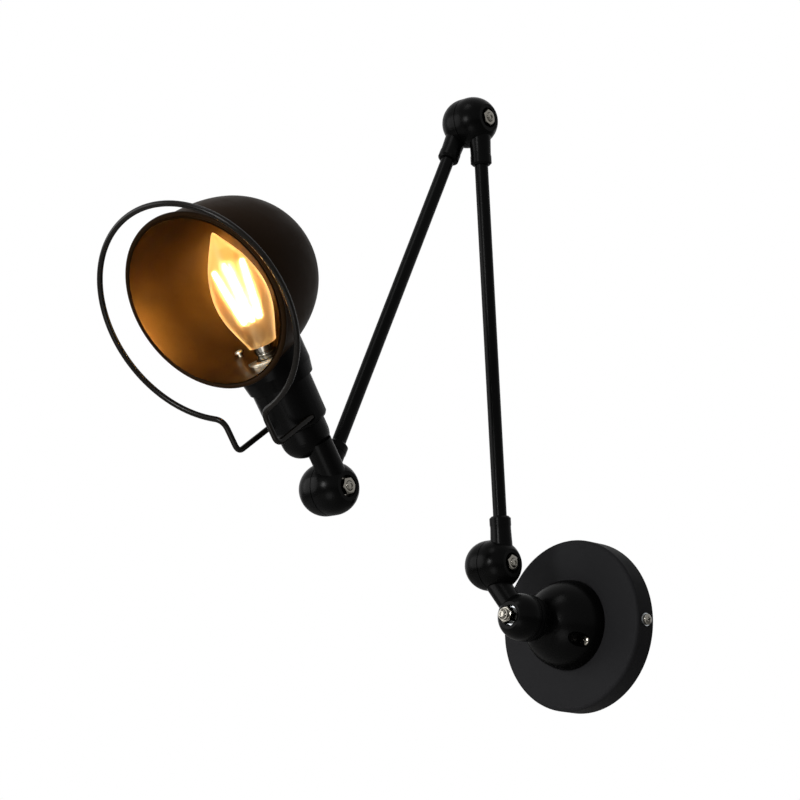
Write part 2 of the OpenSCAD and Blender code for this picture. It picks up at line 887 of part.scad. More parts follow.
module nipple_nut() {
    color("#c8a24a") lamp_frame() translate([0, 0, cup_top + housing_wall]) difference() {
        hex_prism(nipple_nut_af, nipple_nut_h);
        translate([0, 0, -cut]) cylinder(h = nipple_nut_h + 2 * cut, d = nipple_d + 2 * seat_gap);
    }
}
nipple_nut();

// Socket housing: a drawn cup over the lampholder, open towards the shade
housing_round = 2.4;
guard_wire_r = guard_d / 2;
foot_x = housing_r - foot_inset;
foot_depth = 4.5;
foot_end_out = sqrt(pow(housing_r, 2) - pow(foot_x, 2)) - foot_depth;
foot_hole_gap = 0.6;

module housing_outline(inset) {
    low = cup_top + inset;
    r_low = housing_r - inset;
    r_top = housing_r + housing_flare - inset;
    top = housing_top + (inset > 0 ? cut : 0);
    polygon([
        [0, low], [r_low - housing_round, low], [r_low - housing_round * 0.4, low + housing_round * 0.35],
        [r_low, low + housing_round], [r_top, top], [0, top]
    ]);
}

module socket_housing() {
    color("#1b1b1c") lamp_frame() difference() {
        rotate_extrude() housing_outline(0);
        rotate_extrude() housing_outline(housing_wall);
        translate([0, 0, cup_top - cut]) cylinder(h = housing_wall + 2 * cut, d = nipple_d + 2 * seat_gap);
        for (s = [-1, 1]) {
            translate([s * foot_x, -foot_end_out + foot_hole_gap, foot_h]) rotate([90, 0, 0])
                cylinder(h = housing_r, r = guard_wire_r + foot_hole_gap);
        }
    }
}
socket_housing();

// Bowl of the shade: half a superellipse turned about the shade's own axis
shade_steps = 26;

function bowl_curve(r, depth) = [for (i = [0:shade_steps]) let (a = 90 * i / shade_steps)
    [r * pow(cos(a), 2 / shade_power), depth * pow(sin(a), 2 / shade_power)]];

module at_rim() {
    translate([0, -rim_out, shade_axis_h]) rotate([-90, 0, 0]) children();
}

module bowl_solid(grow) {
    at_rim() rotate_extrude() polygon(concat([[0, 0]], bowl_curve(shade_r + grow, shade_depth + grow)));
}

collar_in_r = housing_r + housing_flare + seat_gap;
collar_lip = 0.8;

module shade_collar() {
    low = housing_top - shade_collar_lap;
    top = shade_axis_h - shade_r / 2;
    out_r = collar_in_r + shade_collar_wall;
    color("#1b1b1c") lamp_frame() difference() {
        translate([0, shade_collar_shift, 0]) rotate_extrude() polygon([
            [0, low], [collar_in_r + collar_lip + shade_collar_shift, low], [out_r - 0.3, low + shade_collar_bevel],
            [out_r, low + shade_collar_bevel + 1.5], [out_r, top], [0, top]
        ]);
        translate([0, 0, low - cut]) cylinder(h = top - low + 2 * cut, r = collar_in_r);
        bowl_solid(seat_gap);
        at_shade_screws() cylinder(h = 2 * shade_screw_len, d = shade_screw_d + 2 * seat_gap, center = true);
    }
}

shade_screw_x = collar_in_r + shade_collar_wall / 2;
shade_screw_d = 2.4;
shade_screw_len = 7;
shade_head_d = 5.4;
shade_head_h = 1.9;

// Height of a point of the bowl's inner surface over the ball's centre
function bowl_inner_r(out) =
    (shade_r - shade_wall) * pow(1 - pow((rim_out - out) / (shade_depth - shade_wall), shade_power), 1 / shade_power);
shade_screw_seat = shade_axis_h
    - sqrt(pow(bowl_inner_r(shade_head_d / -2), 2) - pow(shade_screw_x + shade_head_d / 2, 2)) + seat_gap;

module at_shade_screws() {
    for (s = [-1, 1]) {
        translate([s * shade_screw_x, 0, shade_screw_seat]) children();
    }
}
shade_collar();

module shade() {
    color("#241a14") lamp_frame() difference() {
        union() {
            at_rim() rotate_extrude() union() {
                polygon(concat(
                    bowl_curve(shade_r, shade_depth),
                    [for (i = [shade_steps:-1:0]) bowl_curve(shade_r - shade_wall, shade_depth - shade_wall)[i]]
                ));
                translate([shade_r + bead_out - bead_d / 2, bead_d / 2]) circle(d = bead_d);
            }
        }
        translate([0, 0, housing_top - cut]) cylinder(h = shade_r / 2, r = shade_hole_r);
        at_shade_screws() cylinder(h = 2 * shade_screw_len, d = shade_screw_d + 2 * seat_gap, center = true);
    }
}
shade();

module shade_screws() {
    color("#8d8375") lamp_frame() at_shade_screws()
        pan_screw(shade_screw_d, shade_screw_len, shade_head_d, shade_head_h);
}
shade_screws();

// Lampholder on the nipple, and the screwed ring round its mouth
holder_bore_r = bulb_cap_r + 0.3;
cap_len = 22;
cap_from = glass_from - cap_len;
contact_t = 0.6;

module lampholder() {
    color("#e8e4da") lamp_frame() difference() {
        translate([0, 0, holder_from]) cylinder(h = holder_top - holder_from, r = holder_r);
        translate([0, 0, holder_from - cut]) cylinder(h = holder_foot_t + cut, d = nipple_d + 2 * seat_gap);
        translate([0, 0, cap_from - contact_t]) cylinder(h = holder_top, r = holder_bore_r);
        translate([0, 0, holder_from]) cylinder(h = holder_top, d = wire_bore_d);
    }
}
lampholder();

module lampholder_ring() {
    lip_h = 5;
    color("#b8b2a4") lamp_frame() {
        difference() {
            translate([0, 0, holder_top - lip_h]) cylinder(h = lip_h + ring_t, r = ring_r);
            translate([0, 0, holder_top - lip_h - cut]) cylinder(h = lip_h + cut, r = holder_r + seat_gap);
            translate([0, 0, holder_top - cut]) cylinder(h = ring_t + 2 * cut, r = holder_bore_r + 1);
        }
    }
}
lampholder_ring();

// Bulb: screw cap with its contact, clear candle glass, glass stem and filaments
module bulb_cap() {
    crown_h = 4;
    skirt_h = 6;
    thread_pitch = 2.8;
    thread_turns = floor((cap_len - crown_h - skirt_h) / thread_pitch);
    thread_h = 0.35;
    color("#c9c9c6") lamp_frame() translate([0, 0, cap_from]) {
        cylinder(h = crown_h, r1 = bulb_cap_r * 0.42, r2 = bulb_cap_r - thread_h);
        translate([0, 0, crown_h]) cylinder(h = cap_len - crown_h, r = bulb_cap_r - thread_h);
        for (i = [0:thread_turns - 1]) {
            translate([0, 0, crown_h + i * thread_pitch]) {
                cylinder(h = thread_pitch / 2, r1 = bulb_cap_r - thread_h, r2 = bulb_cap_r);
                translate([0, 0, thread_pitch / 2])
                    cylinder(h = thread_pitch / 2, r1 = bulb_cap_r, r2 = bulb_cap_r - thread_h);
            }
        }
    }
}
bulb_cap();

glass_foot_r = 9.2;
glass_steps = 14;
glass_waist = 0.385;
tip_power = 0.75;
foot_power = 1.35;
glass_foot_hole_r = 5;

function glass_curve(inset) = concat(
    [for (i = [0:glass_steps]) let (t = 1 - i / glass_steps, s = 1 - glass_waist)
        [(glass_r - inset) * sin(90 * pow(1 - t, tip_power)), glass_len * (glass_waist + s * t) - inset]],
    [for (i = [1:glass_steps]) let (t = i / glass_steps)
        [glass_foot_r - inset + (glass_r - glass_foot_r) * cos(90 * pow(t, foot_power)), glass_len * glass_waist * (1 - t) + inset * t]]
);

module bulb_glass() {
    color("#e9edf0") lamp_frame() translate([0, 0, glass_from]) difference() {
        rotate_extrude() polygon(concat(glass_curve(0), [[0, 0]]));
        rotate_extrude() polygon(concat(glass_curve(glass_wall), [[0, glass_wall]]));
        translate([0, 0, -cut]) cylinder(h = 2 * cut, r = glass_foot_hole_r);
    }
}
bulb_glass();

// Filaments fan out from the top of the glass stem
stem_h = 16;
glass_stem_r = 2.4;
spoke_r = 0.35;
filament_low_r = 4;
filament_high_r = 8;
filament_count = 4;
filament_low = stem_h + 2;
filament_rise = sqrt(pow(filament_len, 2) - pow(filament_high_r - filament_low_r, 2));

module bulb_stem() {
    color("#dfe4e8") lamp_frame() translate([0, 0, glass_from]) {
        cylinder(h = stem_h, r1 = glass_foot_hole_r - seat_gap, r2 = glass_stem_r);
        cylinder(h = filament_low + filament_rise + 2, r = spoke_r * 1.5);
        for (i = [0:filament_count - 1]) {
            rotate([0, 0, 45 + 360 * i / filament_count]) {
                rod_between([0, 0, stem_h - 2], [filament_low_r, 0, filament_low - filament_d / 2], spoke_r);
                rod_between(
                    [0, 0, filament_low + filament_rise + 1.5],
                    [filament_high_r, 0, filament_low + filament_rise + filament_d / 2], spoke_r
                );
            }
        }
    }
}
bulb_stem();

module filaments() {
    color("#ffd27a") lamp_frame() translate([0, 0, glass_from]) for (i = [0:filament_count - 1]) {
        rotate([0, 0, 45 + 360 * i / filament_count])
            rod_between([filament_low_r, 0, filament_low], [filament_high_r, 0, filament_low + filament_rise], filament_d / 2);
    }
}
filaments();

// Wire guard: one bent wire, an open ring before the rim with two feet to the housing
wire_sides = 12;
guard_r = shade_r + bead_out + guard_wider;
guard_out = rim_out + guard_gap;
ring_steps = 22;
bend_steps = 5;
ring_end_bend = 7;
foot_bend = 5;
ring_bend_turn = 5.5;

function unit(v) = v / norm(v);
function bend(a, b, c) = [for (i = [0:bend_steps]) let (t = i / bend_steps)
    pow(1 - t, 2) * a + 2 * t * (1 - t) * b + pow(t, 2) * c];
function ring_point(a) = [
    guard_r * sin(a + guard_turn), -guard_out, guard_h + guard_r * cos(a + guard_turn)
];
ring_end = 180 - asin(foot_x / guard_r);
foot_drop = guard_h - foot_h;
function foot_corner(s) = [
    s * foot_x * cos(guard_turn) - foot_drop * sin(guard_turn), foot_back - guard_out,
    guard_h - foot_drop * cos(guard_turn) - s * foot_x * sin(guard_turn)
];
function half_wire(s) = let (
    corner = foot_corner(s),
    end = [s * foot_x, -foot_end_out, foot_h],
    top = ring_point(s * ring_end),
    down = unit(corner - top),
    inward = unit(end - corner),
    open = ring_end - ring_bend_turn
) concat(
    [for (i = [0:ring_steps - 1]) ring_point(s * open * i / ring_steps)],
    bend(ring_point(s * open), top, top + ring_end_bend * down),
    bend(corner - foot_bend * down, corner, corner + foot_bend * inward),
    [end]
);
left_half = half_wire(-1);
wire_path = concat([for (i = [len(left_half) - 1:-1:1]) left_half[i]], half_wire(1));

function tangent(p, i) = unit(p[min(i + 1, len(p) - 1)] - p[max(i - 1, 0)]);
function carried(p, n0) = [for (i = 0, v = n0; i < len(p);
    i = i + 1, v = i < len(p) ? unit(v - (v * tangent(p, i)) * tangent(p, i)) : v) v];

module swept_wire(p, r, sides, n0) {
    normals = carried(p, n0);
    points = [for (i = [0:len(p) - 1]) let (n = normals[i], b = cross(tangent(p, i), n))
        for (k = [0:sides - 1]) let (a = 360 * k / sides) p[i] + r * (cos(a) * n + sin(a) * b)];
    last = (len(p) - 1) * sides;
    walls = [for (i = [0:len(p) - 2]) for (k = [0:sides - 1]) let (
        a = i * sides + k, b = i * sides + (k + 1) % sides, c = b + sides, d = a + sides
    ) each [[a, d, c], [a, c, b]]];
    ends = [for (k = [1:sides - 2]) each [[0, k, k + 1], [last, last + k + 1, last + k]]];
    polyhedron(points = points, faces = concat(walls, ends));
}

module wire_guard() {
    color("#1b1b1c") lamp_frame() swept_wire(wire_path, guard_wire_r, wire_sides, [0, 0, 1]);
}
wire_guard();
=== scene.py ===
# Articulated wall lamp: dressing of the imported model, in metres
import math

import bmesh
import bpy
from mathutils import Matrix, Vector


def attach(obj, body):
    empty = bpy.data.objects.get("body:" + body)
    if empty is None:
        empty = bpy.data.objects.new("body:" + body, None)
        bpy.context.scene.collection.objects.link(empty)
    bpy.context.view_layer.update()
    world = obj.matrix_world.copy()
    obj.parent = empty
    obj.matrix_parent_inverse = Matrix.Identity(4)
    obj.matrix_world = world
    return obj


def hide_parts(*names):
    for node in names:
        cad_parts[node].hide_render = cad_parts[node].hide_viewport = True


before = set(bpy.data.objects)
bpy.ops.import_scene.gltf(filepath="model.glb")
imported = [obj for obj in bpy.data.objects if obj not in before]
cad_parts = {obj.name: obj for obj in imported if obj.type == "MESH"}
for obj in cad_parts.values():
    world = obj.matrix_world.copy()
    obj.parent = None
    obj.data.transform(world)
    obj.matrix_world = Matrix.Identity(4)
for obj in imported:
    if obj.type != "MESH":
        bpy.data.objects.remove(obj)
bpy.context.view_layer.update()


# Camera and studio
# The lamp was photographed from its right front and from a little below, with a
# long lens. The lens and place come from the plate, balls and tubes in the picture.
AZIMUTH, ELEVATION, ROLL = (math.radians(a) for a in (42.839, -12.742, 0.742))
CAMERA_AT = Vector((1.090534, -1.369221, -0.232690))
LENS_MM, SENSOR_MM, FARTHEST = 112.587, 36, 20


def bearing(turn, rise):
    """Direction from the lamp, turned to its right from straight in front, and raised."""
    return Vector((math.sin(turn) * math.cos(rise), -math.cos(turn) * math.cos(rise), math.sin(rise)))


back = bearing(AZIMUTH, ELEVATION)
level = Vector((0, 0, 1)).cross(back).normalized()
upright = back.cross(level)
right = math.cos(ROLL) * level + math.sin(ROLL) * upright
top = math.cos(ROLL) * upright - math.sin(ROLL) * level
camera = bpy.data.objects.new("camera", bpy.data.cameras.new("camera"))
camera.data.lens = LENS_MM
camera.data.sensor_width = SENSOR_MM
camera.data.clip_end = FARTHEST
camera.matrix_world = Matrix((right, top, back)).transposed().to_4x4()
camera.location = CAMERA_AT
bpy.context.scene.collection.objects.link(camera)
bpy.context.scene.camera = camera
bpy.context.scene.view_settings.view_transform = "Standard"


def colour(hexa, alpha=1.0):
    """sRGB hex value as a linear colour."""
    parts = [int(hexa[i:i + 2], 16) / 255 for i in (1, 3, 5)]
    return [p / 12.92 if p <= 0.04045 else ((p + 0.055) / 1.055) ** 2.4 for p in parts] + [alpha]


def add(tree, kind, sockets=None, **settings):
    """Add a node with its settings; a socket's value is a number or what is linked into it."""
    made = tree.nodes.new(kind)
    for name, value in settings.items():
        setattr(made, name, value)
    for name, value in (sockets or {}).items():
        if isinstance(value, bpy.types.NodeSocket):
            tree.links.new(value, made.inputs[name])
        else:
            made.inputs[name].default_value = value
    return made


# The world gives an even grey fill. The eye, mirrors and glass see it as white paper.
FILL, WHITE = 0.25, 1.0
world = bpy.data.worlds.new("studio")
bpy.context.scene.world = world
world.use_nodes = True
world.node_tree.nodes.clear()
sky = world.node_tree
path = add(sky, "ShaderNodeLightPath")
seen = add(sky, "ShaderNodeMath", {0: path.outputs["Is Camera Ray"], 1: path.outputs["Is Glossy Ray"]},
           operation="MAXIMUM")
seen = add(sky, "ShaderNodeMath", {0: seen.outputs[0], 1: path.outputs["Is Transmission Ray"]},
           operation="MAXIMUM")
fill = add(sky, "ShaderNodeBackground", {"Color": colour("#ffffff"), "Strength": FILL})
paper = add(sky, "ShaderNodeBackground", {"Color": colour("#ffffff"), "Strength": WHITE})
both = add(sky, "ShaderNodeMixShader", {0: seen.outputs[0], 1: fill.outputs[0], 2: paper.outputs[0]})
add(sky, "ShaderNodeOutputWorld", {"Surface": both.outputs[0]})

# Four soft boxes: a small one in front, a wide one at the left, one above and one low.
# Turn and rise are in degrees, distance and width in metres, and power in watts.
MIDDLE = Vector((0, -0.2, 0.15))
for name, turn, rise, far, size, power in (
        ("front_box", 5, 4, 1.5, 0.4, 20),
        ("left_box", -46, 8, 1.5, 1.2, 16),
        ("top_box", 0, 62, 1.6, 0.6, 5),
        ("low_box", 26, -44, 0.9, 0.4, 1.8)):
    out = bearing(math.radians(turn), math.radians(rise))
    lamp = bpy.data.lights.new(name, "AREA")
    lamp.shape = "DISK"
    lamp.size = size
    lamp.energy = power
    box = bpy.data.objects.new(name, lamp)
    box.matrix_world = (Matrix.Translation(MIDDLE + far * out)
                        @ out.to_track_quat("Z", "Y").to_matrix().to_4x4())
    bpy.context.scene.collection.objects.link(box)


# Floor
# Plain pale paper well under the lamp, which hangs on a wall and is seen from below. The
# eye sees it paler than the lamps light it, and its shadow stays.
FLOOR_Z, FLOOR_HALF, PAPER_GLOW = -0.62, 14.0, 0.5
corners = [(x * FLOOR_HALF, y * FLOOR_HALF, FLOOR_Z) for x, y in ((-1, -1), (1, -1), (1, 1), (-1, 1))]
floor_mesh = bpy.data.meshes.new("floor")
floor_mesh.from_pydata(corners, [], [(0, 1, 2, 3)])
floor = bpy.data.objects.new("floor", floor_mesh)
bpy.context.scene.collection.objects.link(floor)

# Matt paper is a warm white that spreads its light evenly and mirrors nothing
floor_paper = bpy.data.materials.new("matt_paper")
floor_paper.use_nodes = True
sheet = floor_paper.node_tree.nodes["Principled BSDF"]
sheet.inputs["Base Color"].default_value = colour("#f2f1ef")
sheet.inputs["Roughness"].default_value = 0.9
sheet.inputs["Emission Color"].default_value = colour("#ffffff")
looked_at = add(floor_paper.node_tree, "ShaderNodeLightPath").outputs["Is Camera Ray"]
glow = add(floor_paper.node_tree, "ShaderNodeMath", {0: looked_at, 1: PAPER_GLOW}, operation="MULTIPLY")
floor_paper.node_tree.links.new(glow.outputs[0], sheet.inputs["Emission Strength"])
floor_mesh.materials.append(floor_paper)


# Wall bracket
# A strap of zinc plated steel, punched and bent, that is screwed flat to the wall and
# carries the plate by its two tabs.
def finish(name, base, roughness, **more):
    """A principled finish, its even values set on the shader: material, tree and shader."""
    made = bpy.data.materials.new(name)
    made.use_nodes = True
    shader = made.node_tree.nodes["Principled BSDF"]
    shader.inputs["Base Color"].default_value = colour(base)
    shader.inputs["Roughness"].default_value = roughness
    for socket, value in more.items():
        shader.inputs[socket.replace("_", " ")].default_value = value
    return made, made.node_tree, shader


def tinted(tree, shader, mm, dark, light, detail=2.0):
    """Let the colour wander between two hex values, in patches so many mm apart."""
    coords = add(tree, "ShaderNodeTexCoord").outputs["Object"]
    patches = add(tree, "ShaderNodeTexNoise", {"Vector": coords, "Scale": 1000 / mm, "Detail": detail})
    tone = add(tree, "ShaderNodeMix", {0: patches.outputs["Fac"], 6: colour(dark), 7: colour(light)},
               data_type="RGBA")
    tree.links.new(tone.outputs[2], shader.inputs["Base Color"])


def dulled(tree, shader, mm, low, high, detail=2.0, margin=0.0):
    """Let the roughness wander from low to high, in patches so many mm apart."""
    coords = add(tree, "ShaderNodeTexCoord").outputs["Object"]
    patches = add(tree, "ShaderNodeTexNoise", {"Vector": coords, "Scale": 1000 / mm, "Detail": detail})
    blur = add(tree, "ShaderNodeMapRange", {"Value": patches.outputs["Fac"], "From Min": margin,
                                            "From Max": 1 - margin, "To Min": low, "To Max": high})
    tree.links.new(blur.outputs[0], shader.inputs["Roughness"])


def relief(tree, shader, mm, depth, detail=2.0):
    """Raise and sink the surface by its real depth in metres, with crests so many mm apart."""
    coords = add(tree, "ShaderNodeTexCoord").outputs["Object"]
    grain = add(tree, "ShaderNodeTexNoise", {"Vector": coords, "Scale": 1000 / mm, "Detail": detail})
    bump = add(tree, "ShaderNodeBump", {"Height": grain.outputs["Fac"], "Distance": depth})
    tree.links.new(bump.outputs["Normal"], shader.inputs["Normal"])


def dress(material, *nodes):
    """Give CAD nodes their finish."""
    for name in nodes:
        for slot in bpy.data.objects[name].material_slots:
            slot.material = material


# Zinc plate gives a pale blue grey gleam, clouded every 4 mm or so
zinc_plate, tree, shader = finish("zinc_plated_steel", "#a6aab0", 0.34, Metallic=1.0)
tinted(tree, shader, 4.167, "#8f9398", "#bcbfc0", detail=4.0)
dulled(tree, shader, 4.167, 0.24, 0.44, detail=4.0)
relief(tree, shader, 0.3333, 0.00001)
dress(zinc_plate, "wall_bracket")


# Terminal block
# Three way connector moulded in pale polyamide, with turned brass clamp screws. The
# brass earth screw sits beside it in the strap.

# Moulded polyamide looks milky, with the fine spark texture of its mould
polyamide, tree, shader = finish("moulded_polyamide", "#d8d4c8", 0.48)
relief(tree, shader, 0.4545, 0.00002)
dress(polyamide, "terminal_block")

# Turned brass is bright, and dulled by handling in patches 2 to 3 mm wide
brass, tree, shader = finish("turned_brass", "#c9a552", 0.28, Metallic=1.0)
dulled(tree, shader, 2.381, 0.18, 0.42, detail=3.0)
dress(brass, "terminal_screws", "earth_screw", "nipple", "nipple_nut")


# Wall plate
# A cup 120 mm across, drawn from 1.2 mm sheet steel and powder coated satin black. Its
# black is the lightest of the lamp. That is painted light: the base is lighter than the castings' same coat,
# standing in for the light its flat face catches.
def powder_coat(name, base, roughness, specular, peel_mm, peel_depth):
    """Black powder coat: orange peel, and a gloss that wanders over the piece."""
    made, tree, shader = finish(name, base, roughness, Specular_IOR_Level=specular)
    dulled(tree, shader, 11.11, roughness - 0.04, roughness + 0.05, detail=3.0, margin=0.3)
    relief(tree, shader, peel_mm, peel_depth)
    return made


# The coat on sheet flows out flat, with peel 1.4 mm from crest to crest
# Its lighter base colour is painted light, for the brighter look of the flat face under the lamps
sheet_black = powder_coat("satin_black_powder_coat", "#19191a", 0.5, 0.014, 1.4, 0.00004)
dress(sheet_black, "wall_plate")


# Side screws
# Two nickel plated M4 pan head screws with a cross recess. They go through washers and
# the plate's rim into the bracket's tabs.

# A full turn, and the angle from which an edge stays crisp
TURN, SHARP = 2 * math.pi, math.radians(32)


def turned(rows, steps=48, closed=False):
    """Turn rows of (radius, height), either of them a number or a function of the angle."""
    work = bmesh.new()
    rings = []
    angles = [TURN * k / steps for k in range(steps)]
    for r, z in rows:
        reach = [r(a) if callable(r) else r for a in angles]
        height = [z(a) if callable(z) else z for a in angles]
        if max(reach) < 1e-7:
            rings.append([work.verts.new((0, 0, height[0]))] * steps)
        else:
            rings.append([work.verts.new((q * math.cos(a), q * math.sin(a), h))
                          for q, a, h in zip(reach, angles, height)])
    for low, high in zip(rings, rings[1:] + (rings[:1] if closed else [])):
        for k in range(steps):
            n = (k + 1) % steps
            corners = list(dict.fromkeys((low[k], low[n], high[n], high[k])))
            if len(corners) > 2:
                work.faces.new(corners)
    bmesh.ops.recalc_face_normals(work, faces=work.faces)
    mesh = bpy.data.meshes.new("turned")
    work.to_mesh(mesh)
    work.free()
    mesh.shade_smooth()
    mesh.set_sharp_from_angle(angle=SHARP)
    return mesh


def linked(mesh):
    """A working object of a mesh, to be used and then dropped."""
    made = bpy.data.objects.new("work", mesh)
    bpy.context.scene.collection.objects.link(made)
    return made


def applied(work):
    """The plain mesh of a working object under its modifiers; the object goes."""
    made = bpy.data.meshes.new_from_object(work.evaluated_get(bpy.context.evaluated_depsgraph_get()))
    bpy.data.objects.remove(work)
    return made


def pan_screw(shank_d, shank_len, head_d, head_h):
    """Pan head screw, head upwards from z = 0, with a tapered cross recess cut into it."""
    side, crown_power, edge, point = 0.45, 0.8, 0.0002, 0.0005
    crown = [(head_d / 2 * math.sin(a), head_h * (side + (1 - side) * math.cos(a) ** crown_power))
             for a in (math.radians(d) for d in range(0, 91, 9))]
    crown[0] = (0.0, head_h)
    foot = [(head_d / 2, edge), (head_d / 2 - edge, 0.0), (shank_d / 2, 0.0)]
    tip = [(shank_d / 2, -shank_len + point), (shank_d / 2 - point, -shank_len), (0.0, -shank_len)]
    body = linked(turned(crown + foot + tip))
    # The recess: its arms as shares of the head, narrower at the bottom, a little turned
    arm_len, arm_width, taper, middle, depth, skew = 0.58, 0.15, 0.62, 0.95, 1.1, 20
    work = bmesh.new()
    for quarter in (0, 90):
        bar = bmesh.ops.create_cube(work, size=1.0)["verts"]
        for v in bar:
            low = taper if v.co.z < 0 else 1.0
            v.co = (v.co.x * head_d * arm_len * low, v.co.y * head_d * arm_width * low,
                    head_h * (middle + v.co.z * depth))
        bmesh.ops.rotate(work, verts=bar, matrix=Matrix.Rotation(math.radians(quarter + skew), 3, "Z"))
    cross = bpy.data.meshes.new("cross")
    work.to_mesh(cross)
    work.free()
    punch = linked(cross)
    cutting = body.modifiers.new("recess", "BOOLEAN")
    cutting.object = punch
    cutting.solver = "EXACT"
    cutting.use_self = True
    mesh = applied(body)
    bpy.data.objects.remove(punch)
    mesh.set_sharp_from_angle(angle=SHARP)
    return mesh


def recipe(name, **inputs):
    """A Geometry Nodes tree that takes the named inputs and gives a geometry, and its inputs."""
    tree = bpy.data.node_groups.new(name, "GeometryNodeTree")
    for title, kind in inputs.items():
        tree.interface.new_socket(title.replace("_", " "), in_out="INPUT", socket_type="NodeSocket" + kind)
    tree.interface.new_socket("Geometry", in_out="OUTPUT", socket_type="NodeSocketGeometry")
    return tree, add(tree, "NodeGroupInput").outputs


def make_real(tree, shape, material):
    """End a tree: make copies real, give them their material and hand the geometry out."""
    whole = add(tree, "GeometryNodeRealizeInstances", {"Geometry": shape})
    coated = add(tree, "GeometryNodeSetMaterial", {"Geometry": whole.outputs["Geometry"], "Material": material})
    add(tree, "NodeGroupOutput", {"Geometry": coated.outputs["Geometry"]})


# Geometry Nodes set one piece out on marked points, each with its own turn
set_out, given = recipe("set_out_on_points", Geometry="Geometry", Piece="Object", Finish="Material")
piece = add(set_out, "GeometryNodeObjectInfo", {"Object": given["Piece"], "As Instance": True})
turn = add(set_out, "GeometryNodeInputNamedAttribute", {"Name": "turn"}, data_type="FLOAT_VECTOR")
placed = add(set_out, "GeometryNodeInstanceOnPoints",
             {"Points": given["Geometry"], "Instance": piece.outputs["Geometry"],
              "Rotation": turn.outputs["Attribute"]})
make_real(set_out, placed.outputs["Instances"], given["Finish"])


def grown(mesh, tree, **values):
    """The plain mesh that a Geometry Nodes tree makes on a mesh, its inputs given by name."""
    work = linked(mesh)
    modifier = work.modifiers.new("grow", "NODES")
    modifier.node_group = tree
    for item in tree.interface.items_tree:
        if item.in_out == "INPUT" and item.name.replace(" ", "_") in values:
            modifier[item.identifier] = values[item.name.replace(" ", "_")]
    return applied(work)


def keep(name, mesh, body, slot, *stands_for):
    """Put a finished mesh in the scene, on its body, in place of CAD nodes."""
    made = bpy.data.objects.new(name, mesh)
    mesh.name = name
    bpy.context.scene.collection.objects.link(made)
    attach(made, body)
    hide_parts(*stands_for)


def set_pieces(name, mesh, places, material, body, slot, *stands_for):
    """Set one piece out at each place, a matrix, and put them in for CAD nodes."""
    marks = bpy.data.meshes.new("marks")
    marks.from_pydata([place.translation for place in places], [], [])
    turns = marks.attributes.new("turn", "FLOAT_VECTOR", "POINT")
    for i, place in enumerate(places):
        turns.data[i].vector = place.to_euler()
    pattern = linked(mesh)
    made = grown(marks, set_out, Piece=pattern, Finish=material)
    bpy.data.objects.remove(pattern)
    keep(name, made, body, slot, *stands_for)


# Nickel plate is warm and bright; fine tool marks 1 mm apart break up what it mirrors
nickel, tree, shader = finish("bright_nickel_plate", "#74716a", 0.15, Metallic=1.0)
dulled(tree, shader, 1.111, 0.08, 0.22, detail=5.0)
relief(tree, shader, 1.111, 0.00001, detail=5.0)

# OUTWARD lays local Z along the hub's axis, away from the wall
OUTWARD = Matrix.Rotation(math.radians(90), 4, "X")
PLATE_R, SIDE_SCREW_OUT, SIDE_WASHER_T = 0.060, 0.0085, 0.0008
M4_D, M4_HEAD_D, M4_HEAD_H, SIDE_SCREW_LEN = 0.004, 0.0076, 0.0025, 0.0065
sides = [OUTWARD @ Matrix.Translation((s * (PLATE_R + SIDE_WASHER_T), 0, SIDE_SCREW_OUT))
         @ Matrix.Rotation(math.radians(90 * s), 4, "Y") for s in (-1, 1)]
set_pieces("plate_side_screws", pan_screw(M4_D, SIDE_SCREW_LEN, M4_HEAD_D, M4_HEAD_H), sides, nickel,
           "base", "bright_steel", "side_screws")
dress(zinc_plate, "side_washers")


# Dome
# A hemisphere of die cast zinc alloy that ends in the fixed half of the hub ball. Two
# screws in drilled pockets hold it to the plate, with nuts behind.
DOME_SCREW_R, DOME_SCREW_TURN, POCKET_SEAT, DOME_SCREW_LEN = 0.026, math.radians(-30.7), 0.0267, 0.0151

# The coat on a casting is thicker, with peel 1.9 mm apart, and a deeper black
cast_black = powder_coat("black_powder_coat_on_casting", "#040404", 0.26, 0.03, 1.9, 0.00006)
dress(cast_black, "dome")
pockets = [OUTWARD @ Matrix.Rotation(DOME_SCREW_TURN, 4, "Z")
           @ Matrix.Translation((s * DOME_SCREW_R, 0, POCKET_SEAT)) for s in (-1, 1)]
set_pieces("dome_pan_screws", pan_screw(M4_D, DOME_SCREW_LEN, M4_HEAD_D, M4_HEAD_H), pockets, nickel,
           "base", "bright_steel", "dome_screws")
dress(zinc_plate, "dome_nuts")


# Hub bolt and lock nut
# An M6 bolt from inside the dome, and a nickel plated lock nut with a round collar on a
# thick washer in the link's recess. The bolt's end stands out of the nut.
TURNED_SHARE, CORNER_CUT = 0.97, math.radians(30)


def hexagon(across_flats):
    """Radius of a hexagon's side as a function of the angle."""
    return lambda a: across_flats / 2 / math.cos(a % (TURN / 6) - TURN / 12)


def bevel(across_flats, height, way):
    """Height of a hexagon's corner under a turning cut that starts just inside its flats."""
    side = hexagon(across_flats)
    return lambda a: height - way * (side(a) - across_flats / 2 * TURNED_SHARE) * math.tan(CORNER_CUT)


def nut(across_flats, height, bore_d, collar_d=0.0, collar_h=0.0):
    """Hexagon nut from z = 0 with turned corners, a bevelled bore and, if asked, a collar."""
    cut_r, lead, fillet = across_flats / 2 * TURNED_SHARE, 0.0004, 0.0002
    rows = [(bore_d / 2, lead), (bore_d / 2 + lead, 0.0), (cut_r, 0.0),
            (hexagon(across_flats), bevel(across_flats, 0.0, -1)),
            (hexagon(across_flats), bevel(across_flats, height, 1)), (cut_r, height)]
    if collar_h:
        rows += [(collar_d / 2 + fillet, height), (collar_d / 2, height + fillet),
                 (collar_d / 2, height + collar_h - lead), (collar_d / 2 - lead, height + collar_h)]
    end = height + collar_h
    return turned(rows + [(bore_d / 2 + lead, end), (bore_d / 2, end - lead)], closed=True)


